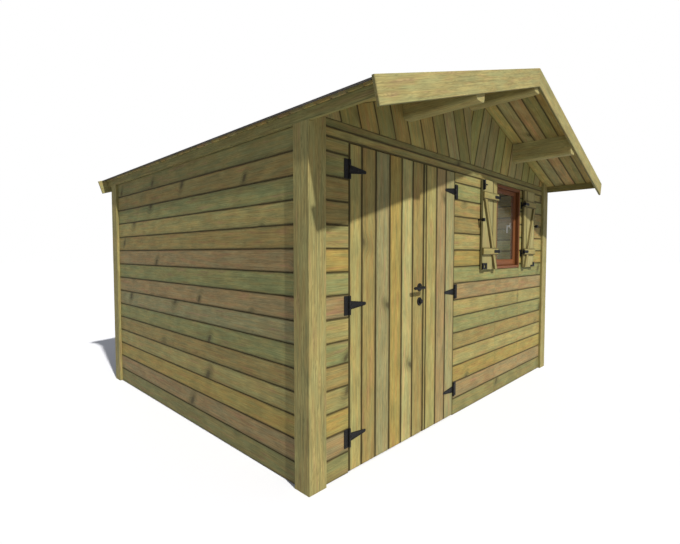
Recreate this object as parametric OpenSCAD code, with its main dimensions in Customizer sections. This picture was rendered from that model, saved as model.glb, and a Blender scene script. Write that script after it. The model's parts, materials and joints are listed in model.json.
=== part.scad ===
// Timber garden shed with a gable roof, a double door and a shuttered window.
// Millimetres. +X runs along the front to the right, +Y runs into the shed, +Z is up.
// The origin is on the ground, under the middle of the roof.

/* [Size] */
// Width of the front, over the corner posts
shed_w = 3540; // [3000:10:4600]
// Depth, over the corner posts
shed_d = 2980; // [1800:10:5000]
// Side of the square corner posts
post = 125; // [95:5:160]

/* [Walls] */
// Thickness of the log boards of the walls
wall_t = 44; // [30:2:60]
// Distance from the posts' outer faces in to the walls' outer faces
recess = 22; // [8:1:40]
// Height of the wall over the door and the window
head_h = 99; // [60:1:240]
// Thickness of the gable boards
gable_t = 28; // [18:1:44]

/* [Door] */
// Height of the doorway
door_h = 1898; // [1700:1:2300]
// Wall between the left post and the doorway
door_margin = 195; // [120:5:400]
// Width of the left leaf, which has the lever handle
left_leaf_w = 758; // [600:1:1000]
// Width of the right leaf
right_leaf_w = 425; // [300:1:620]
// Thickness of the upright boards of a leaf
leaf_t = 21; // [16:1:24]
// Thickness of the ledges on the back of a leaf
leaf_ledge_t = 18; // [12:1:18]
// Gap round each leaf
leaf_gap = 5; // [5:1:8]
// Gap between a leaf and the ground
leaf_ground_gap = 6; // [6:1:30]

/* [Window] */
// Width of the window opening
window_w = 544; // [400:1:700]
// Height of the window opening
window_h = 764; // [500:1:950]
// Place of the window in the wall between the doorway and the right post
window_place = 0.536; // [0.48:0.001:0.56]
// Face width of the window frame
frame_w = 25; // [20:1:45]
// Face width of the sash stiles and top rail
stile_w = 32; // [25:1:50]
// Height of the sash bottom rail
bottom_rail_h = 50; // [35:1:80]
// Thickness of the glass
glass_t = 4; // [3:1:6]

/* [Shutters] */
// Width of one shutter
shutter_w = 282; // [200:1:320]
// Thickness of the shutter boards
shutter_t = 18; // [14:1:22]
// Thickness of the shutter ledges and brace
shutter_ledge_t = 18; // [12:1:20]
// Gap between an open shutter and the wall
shutter_gap = 7; // [7:1:12]

/* [Roof] */
// Slope of the roof, in degrees
slope = 18; // [12:1:28]
// Roof past the front posts
front_overhang = 498; // [200:1:700]
// Roof past the rear posts
rear_overhang = 125; // [60:1:400]
// Roof boards past the side faces of the posts
eave_overhang = 18; // [4:1:40]
// Roof covering past the edges of the roof boards
covering_out = 30; // [0:1:40]
// Thickness of the roof boards
roof_board_t = 16; // [15:1:28]
// Thickness of the roof covering
covering_t = 5; // [3:1:8]
// Height of the underside of the roof at the posts' side faces, over the walls' top
eave_rise = 5; // [0:1:60]
// Width of a purlin
purlin_w = 100; // [60:5:140]
// Height of a purlin at its middle
purlin_h = 150; // [110:5:200]
// Height of a bargeboard
barge_h = 124; // [100:1:180]
// Thickness of a bargeboard
barge_t = 18; // [15:1:28]
// Ends of the bargeboards past the side faces of the posts
barge_out = 86; // [40:1:140]
// Thickness of the eave boards
eave_board_t = 20; // [16:1:22]
// Height of the eave boards on their outer face
eave_board_h = 56; // [45:1:90]

/* [Hidden] */
$fn = 48;
eps = 1; // how far a cutter runs past the face that it cuts

// Levels
wall_top = door_h + head_h;
half_w = shed_w / 2;
// Outer faces of the front and the rear posts
front_y = (front_overhang - rear_overhang - shed_d) / 2;
rear_y = front_y + shed_d;
roof_at_post = wall_top + eave_rise;
boards_rise = roof_board_t / cos(slope);
covering_rise = covering_t / cos(slope);
bed = 0.05; // between sloped faces that lie on each other
eave_board_z = roof_at_post - eave_board_h;

// The underside of the roof at a distance x from the ridge line
function roof_z(x) = roof_at_post + (half_w - abs(x)) * tan(slope);
ridge_z = roof_z(0);

// Front wall
wall_y = front_y + recess;
inner_y = wall_y + wall_t;
door_x = -half_w + post + door_margin;
door_w = left_leaf_w + right_leaf_w + 3 * leaf_gap;
door_right_x = door_x + door_w;
right_post_x = half_w - post;
window_x = round(door_right_x + (right_post_x - door_right_x) * window_place);
window_left_x = window_x - window_w / 2;
window_right_x = window_x + window_w / 2;
sill_z = door_h - window_h;

// Door frame behind the wall, which the closed leaves stop against
jamb_w = 60;
jamb_t = 45;
jamb_lap = 15;

// Door leaves
leaf_z = leaf_ground_gap;
leaf_h = door_h - leaf_gap - leaf_z;
ledge_h = 100;
ledge_end_gap = 20; // from the ends of the ledges to the leaf's edges
left_leaf_x = door_x + leaf_gap;
right_leaf_x = left_leaf_x + left_leaf_w + leaf_gap;

// Strap hinges of the doors
strap_t = 4;
strap_len = 146;
strap_root_h = 50;
strap_tip_h = 15;
plate_w = 42;
plate_h = 110;
pin_r = 3;
pin_clearance = 0.08;
knuckle_r = 7;
knuckle_gap = 1;
knuckle_h = 36;
seat_gap = 0.3; // between a metal fitting and the timber behind it
hinge_inset = 1.5;
hinge_y = wall_y - seat_gap - knuckle_r;
hinge_low_z = 209;
hinge_pitch = (door_h - hinge_low_z - 151) / 2;
hinge_levels = [for (i = [0:2]) hinge_low_z + i * hinge_pitch];
left_hinge_x = door_x + leaf_gap / 2;
right_hinge_x = door_right_x - leaf_gap / 2;

// Lever handle and lock on the left leaf
backset = 45;
rose_r = 26;
rose_t = 8;
lever_x = left_leaf_x + left_leaf_w - backset;
lever_z = 1040;
lock_drop = 98;
spindle_r = 8;
spindle_clearance = 0.1;
lever_out = 48;
lever_len = 118;
lever_r = 9;
cylinder_r = 13;
cylinder_out = 22;

// Window
frame_d = 72;
sash_clearance = 0.3;
sash_back = 32;
sash_t = 36;
sash_left = window_left_x + frame_w + sash_clearance;
sash_right = window_right_x - frame_w - sash_clearance;
sash_low = sill_z + frame_w + sash_clearance;
sash_high = door_h - frame_w - sash_clearance;
sash_y = wall_y + sash_back;
glass_lap = 6;
glass_y = sash_y + (sash_t - glass_t) / 2;
handle_z = sill_z + window_h * 0.54;

// Shutters
strap_plate_t = 3;
shutter_reach = shutter_t + shutter_ledge_t + strap_plate_t;
pivot_y = wall_y - shutter_gap - shutter_reach / 2;
shutter_meet = 12;
pivot_off = (window_w / 2) + 29;
pivot_edge = pivot_off - shutter_w - shutter_meet / 2;
shutter_pin_r = 4;
shutter_eye_r = 7;
shutter_z = sill_z;
shutter_h = window_h;
shutter_ledge_h = 62;
ledge_end_space = [157, 135]; // from the shutter's foot and top to the middle of a ledge
shutter_ledges = [ledge_end_space[0], shutter_h - ledge_end_space[1]];
brace_w = 52;
eye_h = 26;
strap_len_s = 84;
pintle_w = 28;
pintle_h = 70;
stop_z = sill_z + window_h * 0.55;
stop_out = 55;

timber = [0.64, 0.60, 0.38];
light_timber = [0.74, 0.69, 0.45];
black_iron = [0.08, 0.08, 0.08];
red_brown = [0.42, 0.16, 0.10];

// A box from its low corner to its high corner
module span(low, high) {
    translate(low) cube(high - low);
}

// Extrudes an outline drawn in x and z, from y0 to y1
module along_y(y0, y1) {
    translate([0, y1, 0]) rotate([90, 0, 0]) linear_extrude(y1 - y0) children();
}

// ---- Posts ----

// A left-hand post: it is notched for the eave board and cut to the roof's slope
module left_post(y0) {
    color(timber) along_y(y0, y0 + post) polygon([
        [-half_w, 0], [-half_w + post, 0],
        [-half_w + post, roof_z(half_w - post)],
        [-half_w + eave_board_t, roof_z(half_w - eave_board_t)],
        [-half_w + eave_board_t, eave_board_z], [-half_w, eave_board_z]
    ]);
}
module front_left_post() { left_post(front_y); }
module rear_left_post() { left_post(rear_y - post); }
module front_right_post() { mirror([1, 0, 0]) left_post(front_y); }
module rear_right_post() { mirror([1, 0, 0]) left_post(rear_y - post); }

// ---- Walls ----

// A left-hand wall between the posts, its top cut to the roof's slope
module side_wall() {
    outer = half_w - recess;
    inner = outer - wall_t;
    color(timber) along_y(front_y + post, rear_y - post) polygon([
        [-outer, 0], [-inner, 0], [-inner, roof_z(inner)], [-outer, roof_z(outer)]
    ]);
}
module left_wall() { side_wall(); }
module right_wall() { mirror([1, 0, 0]) side_wall(); }
module rear_wall() {
    color(timber) span([-half_w + post, rear_y - recess - wall_t, 0],
                       [half_w - post, rear_y - recess, wall_top]);
}

// A slab of the front wall
module front_slab(x0, x1, z0, z1) {
    color(timber) span([x0, wall_y, z0], [x1, inner_y, z1]);
}
module front_wall_left() { front_slab(-half_w + post, door_x, 0, door_h); }
module front_wall_middle() { front_slab(door_right_x, window_left_x, 0, door_h); }
module front_wall_below_window() { front_slab(window_left_x, window_right_x, 0, sill_z); }
module front_wall_right() { front_slab(window_right_x, right_post_x, 0, door_h); }
module front_wall_top() { front_slab(-half_w + post, right_post_x, door_h, wall_top); }

// The gable triangle over a wall, open at the top where the purlins pass
module gable(y0) {
    edge = half_w - post;
    color(timber) difference() {
        along_y(y0, y0 + gable_t) polygon([
            [-edge, wall_top], [edge, wall_top], [edge, roof_z(edge)],
            [0, ridge_z], [-edge, roof_z(edge)]
        ]);
        for (x = [-half_w / 2, 0, half_w / 2])
            along_y(y0 - eps, y0 + gable_t + eps) purlin_outline(x, eps);
    }
}
module front_gable() { gable(wall_y); }
module rear_gable() { gable(rear_y - recess - gable_t); }

// ---- Door frame ----

module door_jamb(x0) {
    color(timber) span([x0, inner_y, 0], [x0 + jamb_w, inner_y + jamb_t, door_h - jamb_lap]);
}
module left_door_jamb() { door_jamb(door_x + jamb_lap - jamb_w); }
module right_door_jamb() { door_jamb(door_right_x - jamb_lap); }
module door_head() {
    color(timber) span([door_x + jamb_lap - jamb_w, inner_y, door_h - jamb_lap],
                       [door_right_x - jamb_lap + jamb_w, inner_y + jamb_t,
                        door_h - jamb_lap + jamb_w]);
}

// ---- Window ----

// A rectangular ring seen from the front, with its own width at the bottom
module ring(low, high, y0, y1, w, bottom_w) {
    difference() {
        span([low[0], y0, low[1]], [high[0], y1, high[1]]);
        span([low[0] + w, y0 - eps, low[1] + bottom_w], [high[0] - w, y1 + eps, high[1] - w]);
    }
}
module window_frame() {
    color(red_brown) ring([window_left_x, sill_z], [window_right_x, door_h],
                          wall_y, wall_y + frame_d, frame_w, frame_w);
}
// The sash has a groove that holds the glass
module window_sash() {
    color(red_brown) difference() {
        ring([sash_left, sash_low], [sash_right, sash_high],
             sash_y, sash_y + sash_t, stile_w, bottom_rail_h);
        span([sash_left + stile_w - glass_lap, glass_y, sash_low + bottom_rail_h - glass_lap],
             [sash_right - stile_w + glass_lap, glass_y + glass_t, sash_high - stile_w + glass_lap]);
    }
}
module window_glass() {
    color([0.75, 0.82, 0.82, 0.4])
        span([sash_left + stile_w - glass_lap, glass_y, sash_low + bottom_rail_h - glass_lap],
             [sash_right - stile_w + glass_lap, glass_y + glass_t, sash_high - stile_w + glass_lap]);
}
// A turn handle on the room side of the right stile
module window_handle() {
    x = sash_right - stile_w / 2;
    back = sash_y + sash_t;
    color([0.85, 0.85, 0.82]) {
        span([x - 13, back, handle_z - 32], [x + 13, back + 9, handle_z + 32]);
        translate([x, back + 9, handle_z]) rotate([-90, 0, 0]) cylinder(r = 7, h = 32);
        span([x - 9, back + 32, handle_z - 72], [x + 9, back + 44, handle_z + 10]);
    }
}

// ---- Roof ----

// An eave board: it sits in the posts' notches, flush with their side faces
module eave_board() {
    color(timber) along_y(front_y - front_overhang + barge_t, rear_y + rear_overhang - barge_t)
        polygon([
            [-half_w, eave_board_z], [-half_w + eave_board_t, eave_board_z],
            [-half_w + eave_board_t, roof_z(half_w - eave_board_t)], [-half_w, roof_at_post]
        ]);
}
module left_eave_board() { eave_board(); }
module right_eave_board() { mirror([1, 0, 0]) eave_board(); }

// A purlin's cross-section round x: its top follows the roof, its low edges are rounded
module purlin_outline(x, over) {
    r = 22;
    low = roof_z(x) - purlin_h;
    left = x - purlin_w / 2;
    right = x + purlin_w / 2;
    translate([left + r, low + r]) circle(r);
    translate([right - r, low + r]) circle(r);
    translate([left + r, low]) square([purlin_w - 2 * r, 2 * r]);
    top = x == 0
        ? [[right, roof_z(right) + over], [0, ridge_z + over], [left, roof_z(left) + over]]
        : [[right, roof_z(right) + over], [left, roof_z(left) + over]];
    polygon(concat([[left, low + r], [right, low + r]], top));
}
module purlin(x) {
    color(timber) along_y(front_y - front_overhang + barge_t, rear_y + rear_overhang - barge_t)
        purlin_outline(x, 0);
}
module ridge_purlin() { purlin(0); }
module left_purlin() { purlin(-half_w / 2); }
module right_purlin() { purlin(half_w / 2); }

// The boards of the left slope, from the eave to the ridge
module roof_slope() {
    edge = half_w + eave_overhang;
    color(timber) along_y(front_y - front_overhang + barge_t, rear_y + rear_overhang - barge_t)
        polygon([
            [-edge, roof_z(edge) + bed], [0, ridge_z + bed],
            [0, ridge_z + boards_rise], [-edge, roof_z(edge) + boards_rise]
        ]);
}
module left_roof_boards() { roof_slope(); }
module right_roof_boards() { mirror([1, 0, 0]) roof_slope(); }

// The covering of the left slope; the two sheets meet at the ridge
module covering_sheet() {
    edge = half_w + eave_overhang + covering_out;
    under = boards_rise + bed;
    over = boards_rise + covering_rise;
    along_y(front_y - front_overhang + barge_t, rear_y + rear_overhang - barge_t) polygon([
        [-edge, roof_z(edge) + under], [-bed, roof_z(bed) + under],
        [-bed, roof_z(bed) + over], [-edge, roof_z(edge) + over]
    ]);
}
module roof_covering() {
    color([0.42, 0.40, 0.41]) {
        covering_sheet();
        mirror([1, 0, 0]) covering_sheet();
    }
}

// A left-hand bargeboard: plumb at the ridge, square to the slope at its foot
module bargeboard(y0) {
    top = boards_rise + covering_rise;
    edge = half_w + barge_out;
    foot = [-edge + barge_h * sin(slope), roof_z(edge) + top - barge_h * cos(slope)];
    color(light_timber) along_y(y0, y0 + barge_t) polygon([
        [0, ridge_z + top], [-edge, roof_z(edge) + top], foot,
        [0, ridge_z + top - barge_h / cos(slope)]
    ]);
}
module front_left_bargeboard() { bargeboard(front_y - front_overhang); }
module front_right_bargeboard() { mirror([1, 0, 0]) front_left_bargeboard(); }
module rear_left_bargeboard() { bargeboard(rear_y + rear_overhang - barge_t); }
module rear_right_bargeboard() { mirror([1, 0, 0]) rear_left_bargeboard(); }

// ---- Door fittings ----

// A wall plate with the pin and the upper and lower knuckles; it lies to the left of its pin
module hinge_plate() {
    face_y = knuckle_r;
    union() {
        along_y(face_y - strap_t, face_y)
            polygon([
                [-plate_w, -plate_h / 2], [-knuckle_r - hinge_inset, -plate_h / 2],
                [-knuckle_r - hinge_inset, plate_h / 2], [-plate_w, plate_h / 2]
            ]);
        for (side = [-1, 1])
            span([-knuckle_r - hinge_inset - eps, face_y - strap_t,
                  side > 0 ? knuckle_h / 2 + knuckle_gap : -plate_h / 2],
                 [0, face_y, side > 0 ? plate_h / 2 : -knuckle_h / 2 - knuckle_gap]);
        translate([0, 0, knuckle_h / 2 + knuckle_gap])
            cylinder(r = knuckle_r, h = (plate_h - knuckle_h) / 2 - knuckle_gap);
        translate([0, 0, -plate_h / 2])
            cylinder(r = knuckle_r, h = (plate_h - knuckle_h) / 2 - knuckle_gap);
        translate([0, 0, -plate_h / 2]) cylinder(r = pin_r, h = plate_h);
    }
}
// A tapered strap with the bored middle knuckle; it lies to the right of its pin
module hinge_strap() {
    face_y = knuckle_r;
    difference() {
        union() {
            cylinder(r = knuckle_r, h = knuckle_h, center = true);
            along_y(face_y - strap_t, face_y) polygon([
                [0, -knuckle_h / 2], [knuckle_r + hinge_inset, -knuckle_h / 2],
                [knuckle_r + hinge_inset, -strap_root_h / 2], [strap_len, -strap_tip_h / 2],
                [strap_len, strap_tip_h / 2], [knuckle_r + hinge_inset, strap_root_h / 2],
                [knuckle_r + hinge_inset, knuckle_h / 2], [0, knuckle_h / 2]
            ]);
        }
        cylinder(r = pin_r + pin_clearance, h = knuckle_h + 2 * eps, center = true);
    }
}
module door_hinge_plates() {
    color(black_iron) for (z = hinge_levels) {
        translate([left_hinge_x, hinge_y, z]) hinge_plate();
        translate([right_hinge_x, hinge_y, z]) mirror([1, 0, 0]) hinge_plate();
    }
}
module left_door_hinges() {
    color(black_iron) for (z = hinge_levels)
        translate([left_hinge_x, hinge_y, z]) hinge_strap();
}
module right_door_hinges() {
    color(black_iron) for (z = hinge_levels)
        translate([right_hinge_x, hinge_y, z]) mirror([1, 0, 0]) hinge_strap();
}

// ---- Doors ----

// A leaf: upright boards in one panel, with a ledge behind each hinge
module leaf(x0, w) {
    span([x0, wall_y, leaf_z], [x0 + w, wall_y + leaf_t, leaf_z + leaf_h]);
    for (z = hinge_levels)
        span([x0 + ledge_end_gap, wall_y + leaf_t - eps, z - ledge_h / 2],
             [x0 + w - ledge_end_gap, wall_y + leaf_t + leaf_ledge_t, z + ledge_h / 2]);
}
// The left leaf is bored for the lever's spindle
module left_door() {
    color(light_timber) difference() {
        leaf(left_leaf_x, left_leaf_w);
        translate([lever_x, wall_y - eps, lever_z]) rotate([-90, 0, 0])
            cylinder(r = spindle_r + spindle_clearance, h = leaf_t + leaf_ledge_t + 2 * eps);
    }
}
module right_door() {
    color(light_timber) leaf(right_leaf_x, right_leaf_w);
}

// A rose on the outer face of the left leaf, bored when the lever turns in it
module rose(z) {
    translate([lever_x, wall_y - rose_t, z]) rotate([-90, 0, 0]) cylinder(r = rose_r, h = rose_t);
}
module door_lock() {
    color(black_iron) {
        difference() {
            rose(lever_z);
            translate([lever_x, wall_y - rose_t - eps, lever_z]) rotate([-90, 0, 0])
                cylinder(r = spindle_r + spindle_clearance, h = rose_t + 2 * eps);
        }
        rose(lever_z - lock_drop);
        translate([lever_x, wall_y - cylinder_out, lever_z - lock_drop]) rotate([-90, 0, 0])
            cylinder(r = cylinder_r, h = cylinder_out);
    }
}
// The lever points from its spindle towards the hinges
module door_lever() {
    color(black_iron) {
        translate([lever_x, wall_y - lever_out, lever_z]) rotate([-90, 0, 0])
            cylinder(r = spindle_r, h = lever_out + leaf_t);
        translate([lever_x - lever_len, wall_y - lever_out, lever_z]) rotate([0, 90, 0])
            cylinder(r = lever_r, h = lever_len);
        translate([lever_x, wall_y - lever_out, lever_z]) sphere(r = lever_r);
        translate([lever_x - lever_len, wall_y - lever_out, lever_z]) sphere(r = lever_r);
    }
}

// ---- Shutters ----

// The left shutter, open against the wall: boards, two ledges and a brace on the near face
module shutter() {
    right = window_x - pivot_off - pivot_edge;
    left = right - shutter_w;
    back = wall_y - shutter_gap;
    face = back - shutter_t;
    color(light_timber) {
        span([left, face, shutter_z], [right, back, shutter_z + shutter_h]);
        for (z = shutter_ledges)
            span([left, face - shutter_ledge_t, shutter_z + z - shutter_ledge_h / 2],
                 [right, face + eps, shutter_z + z + shutter_ledge_h / 2]);
        brace_low = shutter_z;
        brace_high = shutter_z + shutter_ledges[1] - shutter_ledge_h / 2;
        along_y(face - shutter_ledge_t + 2, face + eps) polygon([
            [right - brace_w - 8, brace_low], [right - 8, brace_low],
            [left + brace_w + 8, brace_high], [left + 8, brace_high]
        ]);
    }
}
// Strap ends on the ledges, each with an eye that turns on a pintle
module shutter_straps() {
    right = window_x - pivot_off - pivot_edge;
    face = wall_y - shutter_gap - shutter_t - shutter_ledge_t;
    pin_x = window_x - pivot_off;
    color(black_iron) for (z = shutter_ledges)
        translate([0, 0, shutter_z + z]) difference() {
            union() {
                span([right - strap_len_s, face - strap_plate_t, -eye_h / 2],
                     [pin_x + shutter_eye_r, face, eye_h / 2]);
                span([pin_x - shutter_eye_r, face - eps, -eye_h / 2],
                     [pin_x + shutter_eye_r, pivot_y, eye_h / 2]);
                translate([pin_x, pivot_y, -eye_h / 2]) cylinder(r = shutter_eye_r, h = eye_h);
            }
            translate([pin_x, pivot_y, -eye_h])
                cylinder(r = shutter_pin_r + pin_clearance, h = 2 * eye_h);
        }
}
module left_shutter() { shutter(); }
module left_shutter_straps() { shutter_straps(); }
module mirror_at_window() {
    translate([window_x, 0, 0]) mirror([1, 0, 0]) translate([-window_x, 0, 0]) children();
}
module right_shutter() { mirror_at_window() shutter(); }
module right_shutter_straps() { mirror_at_window() shutter_straps(); }

// A wall plate with an arm under the eye and a pin up through it
module pintle(z) {
    pin_x = window_x - pivot_off;
    low = z - eye_h / 2 - knuckle_gap;
    span([pin_x - pintle_w / 2, wall_y - strap_plate_t, low - pintle_h / 2],
         [pin_x + pintle_w / 2, wall_y, low + pintle_h / 2]);
    span([pin_x - shutter_eye_r, pivot_y, low - 8], [pin_x + shutter_eye_r, wall_y - 1, low]);
    translate([pin_x, pivot_y, low - 8]) cylinder(r = shutter_eye_r, h = 8);
    translate([pin_x, pivot_y, low - 8]) cylinder(r = shutter_pin_r, h = eye_h + 16);
}
module shutter_pintles() {
    color(black_iron) for (z = shutter_ledges) {
        pintle(shutter_z + z);
        mirror_at_window() pintle(shutter_z + z);
    }
}
// A peg on the wall beside the free edge of each open shutter
module shutter_stop() {
    edge = window_x - pivot_off - pivot_edge - shutter_w;
    span([edge - 8 - 26, wall_y - stop_out, stop_z - 8], [edge - 8, wall_y, stop_z + 8]);
}
module shutter_stops() {
    color(black_iron) {
        shutter_stop();
        mirror_at_window() shutter_stop();
    }
}

front_left_post();
front_right_post();
rear_left_post();
rear_right_post();
left_wall();
right_wall();
rear_wall();
front_wall_left();
front_wall_middle();
front_wall_below_window();
front_wall_right();
front_wall_top();
front_gable();
rear_gable();
left_door_jamb();
right_door_jamb();
door_head();
window_frame();
window_sash();
window_glass();
window_handle();
left_eave_board();
right_eave_board();
ridge_purlin();
left_purlin();
right_purlin();
left_roof_boards();
right_roof_boards();
roof_covering();
front_left_bargeboard();
front_right_bargeboard();
rear_left_bargeboard();
rear_right_bargeboard();
door_hinge_plates();
shutter_pintles();
shutter_stops();
left_door();
left_door_hinges();
door_lock();
door_lever();
right_door();
right_door_hinges();
left_shutter();
left_shutter_straps();
right_shutter();
right_shutter_straps();
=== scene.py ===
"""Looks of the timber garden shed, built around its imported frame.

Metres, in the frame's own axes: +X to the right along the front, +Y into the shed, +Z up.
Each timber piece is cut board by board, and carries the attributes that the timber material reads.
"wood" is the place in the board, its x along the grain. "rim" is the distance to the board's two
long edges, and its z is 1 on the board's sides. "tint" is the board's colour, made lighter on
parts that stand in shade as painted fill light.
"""

import json
import math
import random

import bpy
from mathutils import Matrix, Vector


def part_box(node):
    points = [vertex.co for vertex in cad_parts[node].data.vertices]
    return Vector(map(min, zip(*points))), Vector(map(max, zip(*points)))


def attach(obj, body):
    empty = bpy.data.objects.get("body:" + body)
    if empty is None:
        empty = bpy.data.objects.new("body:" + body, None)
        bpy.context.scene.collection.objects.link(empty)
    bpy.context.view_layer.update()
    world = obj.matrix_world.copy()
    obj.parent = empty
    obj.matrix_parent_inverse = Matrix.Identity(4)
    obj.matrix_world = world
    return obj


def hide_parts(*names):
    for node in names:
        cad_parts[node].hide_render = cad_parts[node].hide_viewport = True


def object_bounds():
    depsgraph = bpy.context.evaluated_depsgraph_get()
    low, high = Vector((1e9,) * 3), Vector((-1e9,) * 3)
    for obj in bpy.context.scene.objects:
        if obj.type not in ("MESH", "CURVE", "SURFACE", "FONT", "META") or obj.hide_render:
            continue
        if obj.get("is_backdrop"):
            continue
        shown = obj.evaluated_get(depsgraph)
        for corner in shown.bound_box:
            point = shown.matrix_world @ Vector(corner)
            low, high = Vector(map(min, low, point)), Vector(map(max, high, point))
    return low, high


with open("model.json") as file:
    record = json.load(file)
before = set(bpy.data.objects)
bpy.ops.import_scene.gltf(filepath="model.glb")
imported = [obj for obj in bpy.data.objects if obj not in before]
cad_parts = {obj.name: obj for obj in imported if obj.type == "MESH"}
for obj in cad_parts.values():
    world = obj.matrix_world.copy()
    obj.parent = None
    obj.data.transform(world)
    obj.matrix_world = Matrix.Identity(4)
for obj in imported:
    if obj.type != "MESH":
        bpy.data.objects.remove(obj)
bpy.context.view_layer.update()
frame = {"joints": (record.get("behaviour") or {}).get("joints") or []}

# ---- Sizes and places, from the frame ----

UP, RIGHT, LEFT = (0, 0, 1), (1, 0, 0), (-1, 0, 0)
IN, OUT = (0, 1, 0), (0, -1, 0)
SLOPE = math.radians(18)
BOARD = 0.130  # cover of a wall board
GABLE_BOARD = 0.158  # cover of a gable board
ROOF_BOARD = 0.1015  # cover of a roof board
LOG = 0.044  # thickness of a wall board
POST = 0.125  # side of a post
EAVE_BOARD = 0.020  # thickness of the board under each eave
BARGEBOARD = 0.124  # height of a bargeboard

half_width = -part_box("front_left_post")[0].x
wall_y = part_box("front_wall_left")[0].y
wall_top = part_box("front_wall_top")[1].z
eave_low, eave_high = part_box("left_eave_board")
roof_low, roof_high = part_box("left_roof_boards")
roof_at_post = eave_high.z - EAVE_BOARD * math.tan(SLOPE)
ridge_z = roof_at_post + half_width * math.tan(SLOPE)
pins = {joint["name"]: Vector(joint["pos_m"]) for joint in frame["joints"]}


def roof_z(x):
    """Height of the roof's underside at a distance x from the ridge line."""
    return ridge_z - abs(x) * math.tan(SLOPE)


# ---- Outlines ----


def clip(outline, nx, ny, limit):
    """The part of an outline where nx * x + ny * y is at most limit."""
    kept = []
    for a, b in zip(outline, outline[1:] + outline[:1]):
        da, db = nx * a[0] + ny * a[1] - limit, nx * b[0] + ny * b[1] - limit
        if da <= 0:
            kept.append(a)
        if (da < 0 < db) or (db < 0 < da):
            t = da / (da - db)
            kept.append((a[0] + (b[0] - a[0]) * t, a[1] + (b[1] - a[1]) * t))
    return kept


def area(outline):
    return sum(a[0] * b[1] - b[0] * a[1] for a, b in zip(outline, outline[1:] + outline[:1])) / 2


def turned(outline):
    """The outline with its points running anticlockwise, as prism needs them."""
    return outline if area(outline) > 0 else outline[::-1]


def handed(outline, side):
    """The outline as it is where side is 1, or mirrored in its v axis where side is -1."""
    return turned([(u * side, v) for u, v in outline])


def inset(outline, d):
    """The outline with each edge moved inwards by d."""
    moved = []
    for i, b in enumerate(outline):
        a, c = outline[i - 1], outline[(i + 1) % len(outline)]
        e, f = Vector((b[0] - a[0], b[1] - a[1])), Vector((c[0] - b[0], c[1] - b[1]))
        if e.length < 1e-7 or f.length < 1e-7:
            moved.append(b)
            continue
        e.normalize()
        f.normalize()
        n, m = (-e.y, e.x), (-f.y, f.x)
        det = n[0] * m[1] - n[1] * m[0]
        if abs(det) < 1e-5:
            moved.append((b[0] + n[0] * d, b[1] + n[1] * d))
        else:
            p = n[0] * b[0] + n[1] * b[1] + d
            q = m[0] * b[0] + m[1] * b[1] + d
            moved.append(((p * m[1] - q * n[1]) / det, (n[0] * q - m[0] * p) / det))
    return moved


def rounded(outline, radius, steps=4, corners=None):
    """The outline with its corners, or the listed ones, rounded."""
    done = []
    for i, b in enumerate(outline):
        if corners is not None and i not in corners:
            done.append(b)
            continue
        a, c = outline[i - 1], outline[(i + 1) % len(outline)]
        to_a = Vector((a[0] - b[0], a[1] - b[1])).normalized()
        to_c = Vector((c[0] - b[0], c[1] - b[1])).normalized()
        half = to_a.angle(to_c) / 2
        middle = (to_a + to_c).normalized() * (radius / math.sin(half))
        start = to_a * (radius / math.tan(half)) - middle
        end = to_c * (radius / math.tan(half)) - middle
        for k in range(steps + 1):
            spoke = start.lerp(end, k / steps).normalized() * radius
            done.append((b[0] + middle.x + spoke.x, b[1] + middle.y + spoke.y))
    return done


def rectangle(x0, y0, x1, y1):
    return [(x0, y0), (x1, y0), (x1, y1), (x0, y1)]


class Plane:
    """A drawing plane: u and v lie in it, and depth goes along its outward normal."""

    def __init__(self, origin, u, v):
        self.origin, self.u, self.v = Vector(origin), Vector(u), Vector(v)
        self.n = self.u.cross(self.v)

    def at(self, u, v, depth):
        return self.origin + self.u * u + self.v * v + self.n * depth

    def flat(self, points):
        """The places (u, v) of points in space."""
        away = [Vector(p) - self.origin for p in points]
        return [(a.dot(self.u), a.dot(self.v)) for a in away]


def front(y, x=0, z=0):
    """The plane of a face that looks out to the front, with u and v along +X and +Z."""
    return Plane((x, y, z), RIGHT, UP)


# ---- Pieces ----


class Part:
    """A mesh that grows solid by solid."""

    def __init__(self, name, tone_and_painted_fill=(1, 1, 1)):
        self.name, self.random, self.tone_and_painted_fill = name, random.Random(name), tone_and_painted_fill
        self.points, self.faces, self.smooth = [], [], []
        self.wood, self.rim, self.tint = [], [], []

    def add(self, points, faces, smooth=False, wood=None, rim=None, tint=(1, 1, 1)):
        start = len(self.points)
        self.points += points
        self.faces += [[start + i for i in f] for f in faces]
        self.smooth += [smooth] * len(faces)
        self.wood += wood or [tuple(p) for p in points]
        self.rim += rim or [(1, 1, 1)] * len(points)
        self.tint += [tint] * len(points)

    def finish(self, material, body, slot, *nodes):
        """Makes the object, which rides on a body and stands for the CAD nodes."""
        mesh = bpy.data.meshes.new(self.name)
        mesh.from_pydata(self.points, [], self.faces)
        for name, values in (("wood", self.wood), ("rim", self.rim), ("tint", self.tint)):
            layer = mesh.attributes.new(name, "FLOAT_VECTOR", "POINT")
            layer.data.foreach_set("vector", [x for v in values for x in v])
        mesh.polygons.foreach_set("use_smooth", self.smooth)
        mesh.materials.append(material)
        mesh.update()
        piece = bpy.data.objects.new(self.name, mesh)
        bpy.context.scene.collection.objects.link(piece)
        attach(piece, body)
        if nodes:
            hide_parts(*nodes)


def layers(part, rings, smooth=False, **attributes):
    """Joins rings of points, all with the same number of points, and closes the two ends."""
    count = len(rings[0])
    faces = [list(range(count))]
    for k in range(len(rings) - 1):
        for i in range(count):
            j = (i + 1) % count
            faces.append([k * count + i, (k + 1) * count + i, (k + 1) * count + j, k * count + j])
    last = (len(rings) - 1) * count
    faces.append([last + i for i in reversed(range(count))])
    part.add([p for ring in rings for p in ring], faces, smooth, **attributes)


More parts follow.
